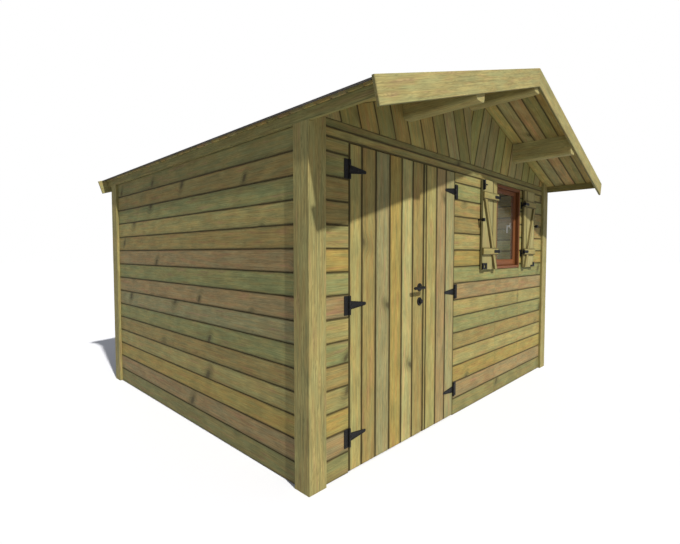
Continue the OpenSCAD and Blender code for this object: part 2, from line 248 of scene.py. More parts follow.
def prism(
    part, plane, outline, top, back, bevel=0.002, depth=None, tint=None, grain="u", behind=None
):
    """A flat piece between two depths along the plane's normal, its edges bevelled.

    The bevel is bevel wide and depth deep on the outer face, and behind wide on the back one.
    The grain runs along u, along v, or along the normal, n.
    """
    depth = bevel if depth is None else depth
    behind = bevel if behind is None else behind
    steps = [(inset(outline, bevel), top), (outline, top - depth)]
    steps += [(outline, back + min(depth, behind)), (inset(outline, behind), back)]
    flat = [(u, v, d) for ring, d in steps for u, v in ring]
    along = {"u": 0, "v": 1, "n": 2}[grain]
    across = {"u": 1, "v": 0, "n": 0}[grain]
    shift = [part.random.uniform(0, 12) for _ in range(3)]
    order = (along, across, 3 - along - across)
    wood = [tuple(p[i] + s for i, s in zip(order, shift)) for p in flat]
    low, high = min(p[across] for p in flat), max(p[across] for p in flat)
    on_side = [z for z in (0, 1, 1, 0) for _ in outline]
    rim = [
        (1, 1, 0) if grain == "n" else (p[across] - low, high - p[across], z)
        for p, z in zip(flat, on_side)
    ]
    rings = [[plane.at(u, v, d) for u, v in ring] for ring, d in steps]
    layers(part, rings, wood=wood, rim=rim, tint=tint or shade(part))


SLIVER = 2e-4  # square metres: a smaller rest of a board is left out


def boards(
    part, plane, outline, seams, top, back, bevel=0.0035, depth=0.004, tints=None, behind=None
):
    """Cuts an outline into boards at the seams, which are places along v."""
    for i, (low, high) in enumerate(zip(seams, seams[1:])):
        piece = clip(clip(outline, 0, -1, -low), 0, 1, high)
        if len(piece) > 2 and area(piece) > SLIVER:
            tint = timber_tint(part, tints[i % len(tints)]) if tints else None
            prism(part, plane, piece, top, back, bevel, depth, tint, behind=behind)


def circle_point(side, other, k, count):
    """Point k of count round the unit circle through side and other."""
    angle = 2 * math.pi * k / count
    return side * math.cos(angle) + other * math.sin(angle)


def lathe(part, origin, axis, profile, sides=24):
    """Turns a profile of (distance along the axis, radius) about an axis."""
    origin, axis = Vector(origin), Vector(axis).normalized()
    side = axis.orthogonal().normalized()
    other = axis.cross(side)
    rings = [
        [origin + axis * h + circle_point(side, other, k, sides) * r for k in range(sides)]
        for h, r in reversed(profile)
    ]
    layers(part, rings, True)


def tube(part, path, radii, sides=16):
    """A round bar along a path of points, with a radius at each."""
    path = [Vector(p) for p in path]
    rings = []
    side = None
    for i, (p, r) in enumerate(zip(path, radii)):
        ahead = path[min(i + 1, len(path) - 1)] - path[max(i - 1, 0)]
        ahead.normalize()
        side = ahead.orthogonal() if side is None else side - ahead * side.dot(ahead)
        side.normalize()
        other = ahead.cross(side)
        rings.append([p + circle_point(side, other, k, sides) * r for k in range(sides)])
    layers(part, rings[::-1], True)


def dome(part, origin, axis, radius, height):
    """A low round head, of a screw or a nail."""
    arc = [(height * math.sin(a), radius * math.cos(a)) for a in (0, 0.5, 0.95, 1.3)]
    lathe(part, origin, axis, [(-0.001, radius)] + arc, 10)


# ---- Timber colours ----

# Tints of pressure-treated pine, in linear colour. They and the lights were adjusted until patches
# of wall, door and trim had about the mean colours that they have in the photo.
TINTS = {
    "green": (0.236, 0.226, 0.090),
    "olive": (0.214, 0.190, 0.074),
    "straw": (0.306, 0.256, 0.098),
    "pale": (0.345, 0.300, 0.130),
    "tan": (0.272, 0.210, 0.078),
    "gold": (0.320, 0.242, 0.074),
    "pink": (0.278, 0.204, 0.096),
    "grey": (0.252, 0.222, 0.108),
}


def timber_tint(part, name):
    """The tint of that name, slightly off, and scaled by the part's tone and painted fill light."""
    wobble = part.random.uniform(0.94, 1.06)
    return tuple(c * wobble * b for c, b in zip(TINTS[name], part.tone_and_painted_fill))


def shade(part):
    """The tint of a board that no list of tints names."""
    return timber_tint(part, part.random.choice(["green", "straw", "tan", "olive", "grey"]))


# ---- Materials ----


class Nodes:
    """Short calls for building a material's nodes. A value is a number, a tuple or a socket."""

    def __init__(self, name):
        self.material = bpy.data.materials.new(name)
        self.material.use_nodes = True
        self.tree = self.material.node_tree
        self.shader = self.tree.nodes["Principled BSDF"]

    def put(self, value, socket):
        if isinstance(value, bpy.types.NodeSocket):
            self.tree.links.new(value, socket)
        elif value is not None:
            socket.default_value = value

    def math(self, operation, a, b=None, c=None, clamp=False):
        node = self.tree.nodes.new("ShaderNodeMath")
        node.operation, node.use_clamp = operation, clamp
        for socket, value in zip(node.inputs, (a, b, c)):
            self.put(value, socket)
        return node.outputs[0]

    def vector(self, operation, a, b=None, scale=None):
        node = self.tree.nodes.new("ShaderNodeVectorMath")
        node.operation = operation
        self.put(a, node.inputs[0])
        self.put(b, node.inputs[1])
        self.put(scale, node.inputs[3])
        return node.outputs["Value" if operation in ("LENGTH", "DISTANCE") else "Vector"]

    def attribute(self, name):
        node = self.tree.nodes.new("ShaderNodeAttribute")
        node.attribute_name = name
        return node.outputs["Vector"]

    def place(self):
        return self.tree.nodes.new("ShaderNodeTexCoord").outputs["Object"]

    def noise(self, where, scale=1.0, detail=3.0, rough=0.5, distortion=0.0):
        node = self.tree.nodes.new("ShaderNodeTexNoise")
        self.put(where, node.inputs["Vector"])
        self.put(scale, node.inputs[3])
        self.put(detail, node.inputs["Detail"])
        self.put(rough, node.inputs["Roughness"])
        self.put(distortion, node.inputs["Distortion"])
        return node.outputs[0]

    def ramp(self, value, stops):
        node = self.tree.nodes.new("ShaderNodeValToRGB")
        self.put(value, node.inputs[0])
        elements = node.color_ramp.elements
        while len(elements) < len(stops):
            elements.new(0.5)
        for element, (at, colour) in zip(elements, stops):
            element.position = at
            element.color = (*colour, 1) if isinstance(colour, tuple) else (colour,) * 3 + (1,)
        return node.outputs[0]

    def smooth(self, value, low, high, to_low=0.0, to_high=1.0):
        node = self.tree.nodes.new("ShaderNodeMapRange")
        node.interpolation_type = "SMOOTHSTEP"
        for socket, v in zip(node.inputs, (value, low, high, to_low, to_high)):
            self.put(v, socket)
        return node.outputs[0]

    def mix(self, a, b, factor, blend="MIX"):
        node = self.tree.nodes.new("ShaderNodeMix")
        node.data_type, node.blend_type = "RGBA", blend
        self.put(factor, node.inputs[0])
        for socket, value in ((node.inputs[6], a), (node.inputs[7], b)):
            self.put((*value, 1) if isinstance(value, tuple) else value, socket)
        return node.outputs[2]

    def bump(self, height, distance, strength=1.0):
        node = self.tree.nodes.new("ShaderNodeBump")
        node.inputs["Strength"].default_value = strength
        node.inputs["Distance"].default_value = distance
        self.put(height, node.inputs["Height"])
        self.tree.links.new(node.outputs[0], self.shader.inputs["Normal"])

    def split(self, value):
        node = self.tree.nodes.new("ShaderNodeSeparateXYZ")
        self.put(value, node.inputs[0])
        return node.outputs

    def join(self, x, y):
        node = self.tree.nodes.new("ShaderNodeCombineXYZ")
        self.put(x, node.inputs[0])
        self.put(y, node.inputs[1])
        return node.outputs[0]

    def colour(self, value):
        self.put(value, self.shader.inputs["Base Color"])

    def finish(self, roughness, **uniform):
        """Sets the roughness and the shader's sockets that are the same all over; the material."""
        self.put(roughness, self.shader.inputs["Roughness"])
        for name, value in uniform.items():
            self.shader.inputs[name.replace("_", " ")].default_value = value
        return self.material


def timber_material(
    name, variety=1.0, knots=1.0, seam=0.9, streaks=1.0, roughness=0.68, joint_width=0.011, sides=0.62
):
    """Treated pine: colour drifts along each board, growth lines, knots, stained joints, and painted
    shade along one long edge of each board and on its sides.

    variety is how much the colour varies, knots how many of them there are, seam how dark and
    joint_width how wide the joints are, streaks how strong the grain is, and sides how light the
    painted shade on the boards' sides leaves them.
    """
    n = Nodes(name)
    wood = n.attribute("wood")
    # One knot or none in each cell; the cell's colour says whether and how large
    along, across = 1.05, 3.9  # cells to a metre
    cells = n.vector("MULTIPLY", wood, (along, across, 0))
    voronoi = n.tree.nodes.new("ShaderNodeTexVoronoi")
    voronoi.voronoi_dimensions = "2D"
    voronoi.inputs["Scale"].default_value = 1.0
    n.put(cells, voronoi.inputs["Vector"])
    chance = n.split(voronoi.outputs["Color"])
    away = n.vector("SUBTRACT", cells, voronoi.outputs["Position"])
    away = n.split(n.vector("MULTIPLY", away, (1 / along, 1 / across, 0)))
    slant = n.math("MULTIPLY_ADD", away[1], -0.5, away[0])
    shape = n.join(n.math("DIVIDE", slant, 0.028), n.math("DIVIDE", away[1], 0.044))
    near = n.vector("LENGTH", shape)
    near = n.math("DIVIDE", near, n.math("MULTIPLY_ADD", chance[1], 0.8, 0.55))
    there = n.math("GREATER_THAN", chance[0], 1 - 0.46 * knots)
    knot = n.math("MULTIPLY", n.smooth(near, 0.35, 1.05, 1, 0), there)
    halo = n.math("MULTIPLY", n.smooth(near, 0.7, 2.7, 1, 0), there)
    # The grain bends round the knots
    bend = n.join(None, n.math("MULTIPLY", n.math("MULTIPLY", away[1], halo), -0.45))
    bent = n.vector("ADD", wood, bend)
    # Noises stretched along the grain: drift of colour, patches, bands, growth rings, lines, fibres
    drift = n.noise(n.vector("MULTIPLY", bent, (0.85, 7, 7)), 1, 3.5, 0.55, 0.15)
    patch = n.noise(n.vector("MULTIPLY", bent, (1.3, 2.5, 2.5)), 1, 2, 0.5)
    bands = n.noise(n.vector("MULTIPLY", bent, (0.8, 38, 38)), 1, 3, 0.55, 0.1)
    rings = n.noise(n.vector("MULTIPLY", bent, (0.5, 7.5, 7.5)), 1, 2, 0.45)
    rings = n.math("SINE", n.math("MULTIPLY", rings, 95))
    lines = n.noise(n.vector("MULTIPLY", bent, (2.2, 120, 120)), 1, 4, 0.62, 0.2)
    fibre = n.noise(n.vector("MULTIPLY", bent, (14, 520, 520)), 1, 2, 0.6)
    v = variety
    stops = [
        (0.30, (1 - 0.13 * v, 1 - 0.01 * v, 1 - 0.04 * v)),
        (0.45, (1 - 0.02 * v, 1 + 0.02 * v, 1 - 0.02 * v)),
        (0.57, (1 + 0.09 * v, 1 + 0.02 * v, 1 - 0.12 * v)),
        (0.70, (1 + 0.11 * v, 1 - 0.10 * v, 1 - 0.04 * v)),
    ]
    colour = n.mix(n.attribute("tint"), n.ramp(drift, stops), 1.0, "MULTIPLY")
    light = n.smooth(patch, 0.3, 0.7, 1 - 0.12 * v, 1 + 0.13 * v)
    grain = n.smooth(lines, 0.30, 0.66, 1 - 0.13 * streaks, 1 + 0.08 * streaks)
    light = n.math("MULTIPLY", light, grain)
    light = n.math("MULTIPLY", light, n.smooth(rings, -1, 0.6, 1 - 0.12 * streaks, 1 + 0.03))
    light = n.math("MULTIPLY", light, n.smooth(bands, 0.30, 0.68, 1 - 0.17 * streaks, 1 + 0.15))
    light = n.math("MULTIPLY", light, n.smooth(fibre, 0.2, 0.8, 0.94, 1.05))
    rim = n.split(n.attribute("rim"))
    # Painted shade: darker towards one long edge of each board, the lower one on the walls
    light = n.math("MULTIPLY", light, n.smooth(rim[0], 0.004, 0.034, 0.86, 1.0))
    # Painted shade: the boards' sides and ends are darker, down to the sides factor
    light = n.math("MULTIPLY", light, n.smooth(rim[2], 0.9, 1.0, 1.0, sides))
    colour = n.vector("SCALE", colour, scale=light)
    smudge = n.smooth(lines, 0.35, 0.62, 0.75, 0.38)
    colour = n.mix(colour, (0.088, 0.082, 0.030), n.math("MULTIPLY", halo, smudge))
    colour = n.mix(colour, (0.060, 0.044, 0.018), n.math("MULTIPLY", knot, 0.72))
    # The joints are stained brown; the boards' sides get only the painted shade above
    edge = n.math("MINIMUM", rim[0], rim[1])
    edge = n.math("DIVIDE", edge, n.smooth(patch, 0.25, 0.75, 0.7, 1.35))
    face = n.smooth(rim[2], 0.85, 1, 1, 0)
    joint = n.math("MULTIPLY", n.smooth(edge, 0.0015, joint_width, seam, 0), face)
    n.colour(n.mix(colour, (0.040, 0.029, 0.007), joint))
    height = n.math("ADD", n.math("MULTIPLY", lines, 0.7), n.math("MULTIPLY", fibre, 0.35))
    height = n.math("SUBTRACT", height, n.math("MULTIPLY", knot, 0.4))
    n.bump(height, 0.0012, 0.5)
    rough = n.smooth(lines, 0.3, 0.7, roughness + 0.1, roughness - 0.06)
    return n.finish(rough, Specular_IOR_Level=0.25)


def iron_material(name):
    """Black powder-coated iron, slightly rough, lighter where the coat is thin."""
    n = Nodes(name)
    where = n.place()
    coat = n.noise(where, 900, 2, 0.6)
    patch = n.noise(where, 35, 3, 0.5)
    n.colour(n.ramp(patch, [(0.3, 0.0045), (0.62, 0.007), (0.8, 0.014)]))
    n.bump(coat, 0.0003, 0.5)
    return n.finish(n.smooth(patch, 0.3, 0.7, 0.45, 0.62), Specular_IOR_Level=0.22)


def metal_material(name):
    """Pale satin metal."""
    n = Nodes(name)
    brush = n.noise(n.vector("MULTIPLY", n.place(), (900, 900, 30)), 1, 2, 0.5)
    n.colour(n.ramp(brush, [(0.3, (0.62, 0.62, 0.60)), (0.7, (0.76, 0.76, 0.74))]))
    return n.finish(n.smooth(brush, 0.3, 0.7, 0.34, 0.46), Metallic=0.5)


def glass_material(name):
    """Clear glass with a little dust."""
    n = Nodes(name)
    dust = n.noise(n.place(), 9, 4, 0.6)
    n.colour(n.ramp(dust, [(0.3, (0.30, 0.31, 0.27)), (0.7, (0.38, 0.39, 0.33))]))
    n.put(n.smooth(dust, 0.3, 0.75, 0.05, 0.11), n.shader.inputs["Alpha"])
    return n.finish(0.06, Specular_IOR_Level=0.2)


def felt_material(name):
    """Mineral roofing felt: grey slate granules, faded in patches, with dark edges."""
    n = Nodes(name)
    where = n.place()
    grit = n.tree.nodes.new("ShaderNodeTexVoronoi")
    grit.inputs["Scale"].default_value = 420
    n.put(where, grit.inputs["Vector"])
    tone = n.split(grit.outputs["Color"])[0]
    patch = n.noise(where, 1.7, 4, 0.6)
    run = n.noise(n.vector("MULTIPLY", where, (1.2, 9, 1.2)), 1, 3, 0.5)
    slate = [(0.0, (0.075, 0.072, 0.075)), (0.55, (0.135, 0.128, 0.132)), (1.0, (0.26, 0.245, 0.25))]
    base = n.mix(n.ramp(tone, slate), n.attribute("tint"), 1.0, "MULTIPLY")
    light = n.smooth(patch, 0.3, 0.7, 0.82, 1.15)
    light = n.math("MULTIPLY", light, n.smooth(run, 0.35, 0.7, 0.92, 1.06))
    rim = n.split(n.attribute("rim"))
    edge = n.smooth(n.math("MINIMUM", rim[0], rim[1]), 0.001, 0.012, 0.45, 1)
    n.colour(n.vector("SCALE", base, scale=n.math("MULTIPLY", light, edge)))
    n.bump(grit.outputs["Distance"], 0.0015, 0.6)
    return n.finish(n.smooth(patch, 0.3, 0.7, 0.82, 0.95))


wall_timber = timber_material("wall_timber")
post_timber = timber_material("post_timber", 0.7, 0.25, 0.0, 1.5)
roof_timber = timber_material("roof_timber", 1.0, 0.8)
trim_timber = timber_material("trim_timber", 0.8, 0.15, 0.0, 1.3)
door_timber = timber_material("door_timber", 0.9, 0.5, 1.0, 1.2, joint_width=0.015)
shutter_timber = timber_material("shutter_timber", 0.6, 0.1, 0.9)
window_timber = timber_material("window_timber", 0.3, 0.0, 0.0, 1.0, 0.45, sides=0.75)
black_iron = iron_material("black_iron")
pale_metal = metal_material("pale_metal")
glass = glass_material("glass")
roof_felt = felt_material("roof_felt")

# ---- Walls ----

FRONT_ROWS = [
    "olive", "pink", "gold", "straw", "tan", "green", "straw", "pink",
    "green", "gold", "straw", "tan", "tan", "green", "straw", "olive",
]
SIDE_ROWS = [
    "olive", "pink", "gold", "straw", "tan", "green", "grey", "pink",
    "green", "pink", "tan", "straw", "green", "tan", "olive", "green",
]
SIDE_PAINTED_FILL = (1.03, 1.05, 1.09)  # painted fill light: the side walls, which the key light only grazes, get lighter and bluer tints than the front
ROWS = [i * BOARD for i in range(int(wall_top / BOARD) + 1)] + [2.2]  # the last is past every wall


def wall(node, plane, u0, u1, top, tints, tone_and_painted_fill=(1, 1, 1)):
    """The log boards of one wall, from u0 to u1 on the plane of its outer face."""
    part = Part(node + "_boards", tone_and_painted_fill)
    outline = rectangle(u0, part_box(node)[0].z, u1, top)
    boards(part, plane, outline, ROWS, 0, -LOG, tints=tints)
    part.finish(wall_timber, "shed", "wall_timber", node)


for name in ("left", "middle", "below_window", "right", "top"):
    node = "front_wall_" + name
    low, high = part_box(node)
    wall(node, front(wall_y), low.x, high.x, high.z, FRONT_ROWS)

low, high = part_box("left_wall")
side_top = roof_z(low.x)
plane = Plane((low.x, 0, 0), OUT, UP)
wall("left_wall", plane, -high.y, -low.y, side_top, SIDE_ROWS, SIDE_PAINTED_FILL)
low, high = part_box("right_wall")
plane = Plane((high.x, 0, 0), IN, UP)
wall("right_wall", plane, low.y, high.y, side_top, SIDE_ROWS[5:] + SIDE_ROWS[:5], SIDE_PAINTED_FILL)
low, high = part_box("rear_wall")
plane = Plane((0, high.y, 0), LEFT, UP)
wall("rear_wall", plane, -high.x, -low.x, high.z, FRONT_ROWS[9:] + FRONT_ROWS[:9])


def gable_boards(node, facing, phases):
    """Boards square to each slope, which meet in a V at the middle.

    facing is -1 at the front. phases says about how far beside the ridge line a seam meets the
    gable's foot, on the left and on the right.
    """
    low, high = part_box(node)
    face_y = low.y if facing < 0 else high.y
    # Painted fill light: the gables stand in shade under the roof, so their tints are made lighter
    part = Part(node + "_boards", (1.24, 1.22, 1.14))
    edge = high.x
    for side, phase in zip((-1, 1), phases):
        up = Vector((math.sin(SLOPE) * side, 0, math.cos(SLOPE)))
        across = Vector((0, facing, 0)).cross(up)
        plane = Plane((0, face_y, wall_top), up, across)
        half = [(0, wall_top), (edge * side, wall_top), (edge * side, roof_z(edge)), (0, ridge_z)]
        flat = turned(plane.flat([(x, face_y, z) for x, z in half]))
        sign = math.copysign(1, across.x * side)
        start = phase * math.cos(SLOPE) * (across.x * side)
        seams = sorted(start + sign * GABLE_BOARD * k for k in range(-5, 14))
        boards(part, plane, flat, seams, 0, low.y - high.y, 0.003, 0.005)
    part.finish(roof_timber, "shed", "wall_timber", node)


gable_boards("front_gable", -1, (0.012, 0.064))
gable_boards("rear_gable", 1, (0.03, 0.03))

# ---- Posts ----


def post(node, side):
    """A square post notched for the eave board and cut under the roof. side is -1 at the left."""
    low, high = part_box(node)
    inner, notch = half_width - POST, half_width - EAVE_BOARD
    section = [(0, half_width), (0, inner), (roof_z(inner), inner), (roof_z(notch), notch)]
    section += [(eave_low.z, notch), (eave_low.z, half_width)]
    outline = turned([(z, -x * side) for z, x in section])
    part = Part(node + "_timber", (1.07, 1.09, 1.14))
    tint = timber_tint(part, "straw")
    prism(part, Plane((0, low.y, 0), UP, LEFT), outline, 0, low.y - high.y, 0.0035, tint=tint)
    part.rim = [(1, 1, 0)] * len(part.points)
    part.finish(post_timber, "shed", "post_timber", node)


SIDES = (("left", -1), ("right", 1))
ENDS = (("front", -1), ("rear", 1))
for end, _ in ENDS:
    for hand, side in SIDES:
        post(f"{end}_{hand}_post", side)

# ---- Roof ----


def bar_along_y(node, section, tint):
    """A long timber with the given section in x and z, its grain along y."""
    low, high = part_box(node)
    # Painted fill light: the purlins and eave boards stand in shade under the roof, so their tints are
    # made lighter
    part = Part(node + "_timber", (1.15, 1.15, 1.15))
    tint = timber_tint(part, tint)
    prism(part, front(low.y), turned(section), 0, low.y - high.y, tint=tint, grain="n")
    part.finish(post_timber, "shed", "post_timber", node)


for node in ("left_purlin", "ridge_purlin", "right_purlin"):
    low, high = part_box(node)
    section = rectangle(low.x, low.z, high.x, roof_z(high.x))
    section[3] = (low.x, roof_z(low.x))
    if node == "ridge_purlin":
        section.insert(3, (0, ridge_z))
    bar_along_y(node, rounded(section, 0.022, 5, (0, 1)), "pale")

for hand, side in SIDES:
    outer, inner = half_width, half_width - EAVE_BOARD
    section = [(outer, eave_low.z), (inner, eave_low.z), (inner, roof_z(inner)), (outer, roof_at_post)]
    bar_along_y(hand + "_eave_board", [(x * side, z) for x, z in section], "olive")


def slope_plane(side, up):
    """The roof's underside on one slope, u down the slope. Its normal points up, or down at -1."""
    along = Vector((math.cos(SLOPE) * side, 0, -math.sin(SLOPE)))
    return Plane((0, 0, ridge_z), along, (0, side * up, 0))


ROOF_TINTS = ["tan", "olive", "grey", "tan", "straw", "grey", "pink", "olive", "tan"]

for hand, side in SIDES:
    # The first and last seams are past the ends of the roof
    seams = [-2.0, *(roof_low.y + ROOF_BOARD * k for k in range(1, 36)), 2.0]
    if side > 0:
        seams = [-s for s in reversed(seams)]
    length = -roof_low.x / math.cos(SLOPE) - 0.005
    outline = rectangle(0.002, roof_low.y, length, roof_high.y)
    node = hand + "_roof_boards"
    # Painted fill light: the roof's underside is in shade, so its boards' tints are made lighter
    part = Part(node + "_planks", (1.32, 1.29, 1.20))
    plane = slope_plane(side, -1)
    boards(part, plane, outline, seams, -0.0002, -0.0155, 0.0025, 0.003, ROOF_TINTS, 0.0004)
    part.finish(roof_timber, "shed", "roof_timber", node)


def covering():
    """Lapped strips of felt on both slopes, a capping strip over the ridge, and nails."""
    low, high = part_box("roof_covering")
    base = 0.01605  # top of the roof boards, above their underside
    tuck = 0.002  # of each strip under the one above
    nails, nail_inset, nail_row = 24, 0.06, 0.02  # a row's count, and its place on the strip
    length = high.x / math.cos(SLOPE) - 0.0015
    # From and to along the slope, and the thickness down to the boards
    strips = [(0.0006, 0.165, 0.0049), (0.165, 0.80, 0.0044)]
    strips += [(0.80, 1.36, 0.0039), (1.36, length, 0.0034)]
    part = Part("roof_covering_felt")
    for side in (-1, 1):
        plane = slope_plane(side, 1)
        y0, y1 = sorted((low.y * side, high.y * side))
        for i, (start, end, thick) in enumerate(strips):
            tone = part.random.uniform(0.86, 1.12)
            top = base + thick
            outline = rectangle(start - tuck if i else start, y0, end, y1)
            prism(part, plane, outline, top, base, 0.0002, 0.0004, (tone, tone, tone), "v")
            if end == length:
                continue
            for k in range(nails):
                y = y0 + nail_inset + (y1 - y0 - 2 * nail_inset) * k / (nails - 1)
                dome(part, plane.at(end - nail_row, y, top), plane.n, 0.005, 0.0008)
    part.finish(roof_felt, "shed", "roof_felt", "roof_covering")


covering()


def bargeboard(node, side, facing):
    """A plank along the roof's edge: plumb at the ridge, square at its foot."""
    low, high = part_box(node)
    along = Vector((math.cos(SLOPE) * side, 0, -math.sin(SLOPE)))
    across = Vector((0, facing, 0)).cross(along)
    plane = Plane((0, low.y if facing < 0 else high.y, high.z), along, across)
    foot = math.copysign(BARGEBOARD, -across.z)
    length = (high.x if side > 0 else -low.x) / math.cos(SLOPE)
    outline = [(0, 0), (BARGEBOARD * math.tan(SLOPE), foot), (length, foot), (length, 0)]
    part = Part(node + "_plank")
    tint = timber_tint(part, "pale")
    prism(part, plane, turned(outline), 0, low.y - high.y, 0.003, tint=tint)
    # Painted shade stays on the plank's sides and ends; its faces get no darker long edges or joints
    part.rim = [(1, 1, z) for _, _, z in part.rim]
    part.finish(trim_timber, "shed", "trim_timber", node)


for end, facing in ENDS:
    for hand, side in SIDES:
        bargeboard(f"{end}_{hand}_bargeboard", side, facing)

# ---- Door frame ----

for node in ("left_door_jamb", "right_door_jamb", "door_head"):
    low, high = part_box(node)
    part = Part(node + "_timber")
    grain = "u" if node == "door_head" else "v"
    outline = rectangle(low.x, low.z, high.x, high.z)
    tint = timber_tint(part, "tan")
    prism(part, front(low.y), outline, 0, low.y - high.y, 0.003, tint=tint, grain=grain)
    part.finish(post_timber, "shed", "post_timber", node)

# ---- Doors ----

PLATE_W, PLATE_H = 0.042, 0.110  # of a hinge's wall plate, from the pin
plates_low, plates_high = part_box("door_hinge_plates")
lowest, highest = plates_low.z + PLATE_H / 2, plates_high.z - PLATE_H / 2
hinge_levels = [lowest, (lowest + highest) / 2, highest]
LEAF_BOARD = 0.021  # thickness of a leaf's boards
LEDGE, LEDGE_H = 0.018, 0.100  # thickness and height of a ledge behind a leaf
LEDGE_INSET = 0.020  # from the leaf's edge to a ledge's end


def leaf(node, seams, tints):
    """Upright boards with V joints, and a ledge behind each hinge."""
    low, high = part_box(node)
    part = Part(node + "_boards", (1.13, 1.13, 1.11))
    edges = [-x for x in (high.x, *seams[::-1], low.x)]
    face, outline = Plane((0, wall_y, 0), UP, LEFT), rectangle(low.z, -high.x, high.z, -low.x)
    boards(part, face, outline, edges, 0, -LEAF_BOARD, 0.004, 0.005, tints[::-1])
    back = Plane((0, wall_y + LEAF_BOARD, 0), LEFT, UP)
    u0, u1 = -high.x + LEDGE_INSET, -low.x - LEDGE_INSET
    for z in hinge_levels:
        outline = rectangle(u0, z - LEDGE_H / 2, u1, z + LEDGE_H / 2)
        prism(part, back, outline, LEDGE, 0.0002, 0.004)
    part.finish(door_timber, node.replace("door", "leaf"), "door_timber", node)


left_seams = (-1.337, -1.208, -1.070, -0.942, -0.817)
leaf("left_door", left_seams, ["straw", "tan", "grey", "gold", "pale", "tan"])
leaf("right_door", (-0.652, -0.516, -0.388), ["straw", "straw", "pink", "grey"])

# ---- Hinges ----

KNUCKLE_R = 0.007
KNUCKLE_H = 0.036  # of the middle knuckle, on the strap
KNUCKLE_GAP = 0.001
HINGE_INSET = 0.0015  # between a knuckle and the plate's or the strap's edge
STRAP_LEN, STRAP_ROOT, STRAP_TIP = 0.146, 0.050, 0.017
IRON = 0.004  # thickness of the plates
SEAT = 0.0003  # gap behind the hinges
left_pin, right_pin = pins["left_door_swing"], pins["right_door_swing"]


def screw(part, x, y, z, radius=0.005):
    dome(part, (x, y, z), OUT, radius, radius * 0.45)


def knuckle(part, pin, z0, z1):
    """A roll of iron about the pin, with eased ends."""
    ease = 0.001
    length, small = z1 - z0, KNUCKLE_R - ease
    profile = [(0, small), (ease, KNUCKLE_R), (length - ease, KNUCKLE_R), (length, small)]
    lathe(part, (pin.x, pin.y, z0), UP, profile, 20)


def hinge_tab(part, plane, width, z0, z1, side):
    """The iron between a knuckle and the plate or strap that it belongs to."""
    prism(part, plane, handed(rectangle(0, z0, width, z1), side), IRON, 0.0004, 0.0004)


def hinge_plate(part, pin, z, side):
    """The wall plate, on the side of the pin that side gives, with its two outer knuckles."""
    plane = front(wall_y - SEAT, pin.x, z)
    top = PLATE_H / 2
    outline = handed(rectangle(KNUCKLE_R + HINGE_INSET, -top, PLATE_W, top), side)
    prism(part, plane, rounded(outline, 0.004, 3), IRON, 0, 0.0008)
    inner = KNUCKLE_H / 2 + KNUCKLE_GAP
    for z0, z1 in ((-top, -inner), (inner, top)):
        hinge_tab(part, plane, 0.0095, z0, z1, side)
        knuckle(part, pin, z + z0, z + z1)
    for dz, off in ((-0.042, 0.030), (-0.014, 0.021), (0.014, 0.021), (0.042, 0.030)):
        screw(part, pin.x + side * off, wall_y - IRON - 0.0002, z + dz, 0.0048)


def hinge_strap(part, pin, z, side):
    """The tapered strap on the leaf, with a rolled rib along each edge and the middle knuckle."""
    plane = front(wall_y - SEAT, pin.x, z)
    root, root_half, tip_half = KNUCKLE_R + HINGE_INSET, STRAP_ROOT / 2, STRAP_TIP / 2
    shape = [(root, -root_half), (STRAP_LEN, -tip_half), (STRAP_LEN, tip_half), (root, root_half)]
    shape = rounded(shape, 0.0078, 5, (1, 2))
    prism(part, plane, handed(shape, side), 0.0030, 0, 0.0006)
    hinge_tab(part, plane, 0.010, -KNUCKLE_H / 2, KNUCKLE_H / 2, side)
    rib = [0.0008] + [0.0019] * 7 + [0.0008]  # radii, thin at both ends
    for edge in (-1, 1):
        start, end = Vector((0.012, 0.0205 * edge)), Vector((0.128, 0.0068 * edge))
        points = [start.lerp(end, k / (len(rib) - 1)) for k in range(len(rib))]
        path = [(pin.x + u * side, wall_y - 0.0033, z + v) for u, v in points]
        tube(part, path, rib, 8)
    knuckle(part, pin, z - KNUCKLE_H / 2, z + KNUCKLE_H / 2)
    for u, radius in ((0.024, 0.0050), (0.070, 0.0050), (0.132, 0.0042)):
        screw(part, pin.x + u * side, wall_y - 0.0032, z, radius)


plates = Part("hinge_plates")
left_straps, right_straps = Part("left_hinge_straps"), Part("right_hinge_straps")
for z in hinge_levels:
    hinge_plate(plates, left_pin, z, -1)
    hinge_plate(plates, right_pin, z, 1)
    hinge_strap(left_straps, left_pin, z, 1)
    hinge_strap(right_straps, right_pin, z, -1)
plates.finish(black_iron, "shed", "black_iron", "door_hinge_plates")
left_straps.finish(black_iron, "left_leaf", "black_iron", "left_door_hinges")
right_straps.finish(black_iron, "right_leaf", "black_iron", "right_door_hinges")

# ---- Lever and lock ----

ROSE_R = 0.0275
lever_x, lever_z = pins["lever_turn"].x, pins["lever_turn"].z
lock_z = lever_z - 0.098


def rose(part, z, bore):
    """A round plate on the leaf, about a bore."""
    r = ROSE_R
    profile = [(0, r), (0.0045, r), (0.0068, r - 0.003), (0.0078, r - 0.007), (0.0078, bore)]
    lathe(part, (lever_x, wall_y - 0.0002, z), OUT, profile, 32)


lock = Part("door_roses")
rose(lock, lever_z, 0.0085)
rose(lock, lock_z, 0.004)
cylinder = [(0, 0.0145), (0.0138, 0.0145), (0.016, 0.0120), (0.016, 0.001)]
lathe(lock, (lever_x, wall_y - 0.006, lock_z), OUT, cylinder)
for z in (lever_z, lock_z):
    for side in (-1, 1):
        screw(lock, lever_x, wall_y - 0.0072, z + side * 0.018, 0.003)
lock.finish(black_iron, "left_leaf", "black_iron", "door_lock")

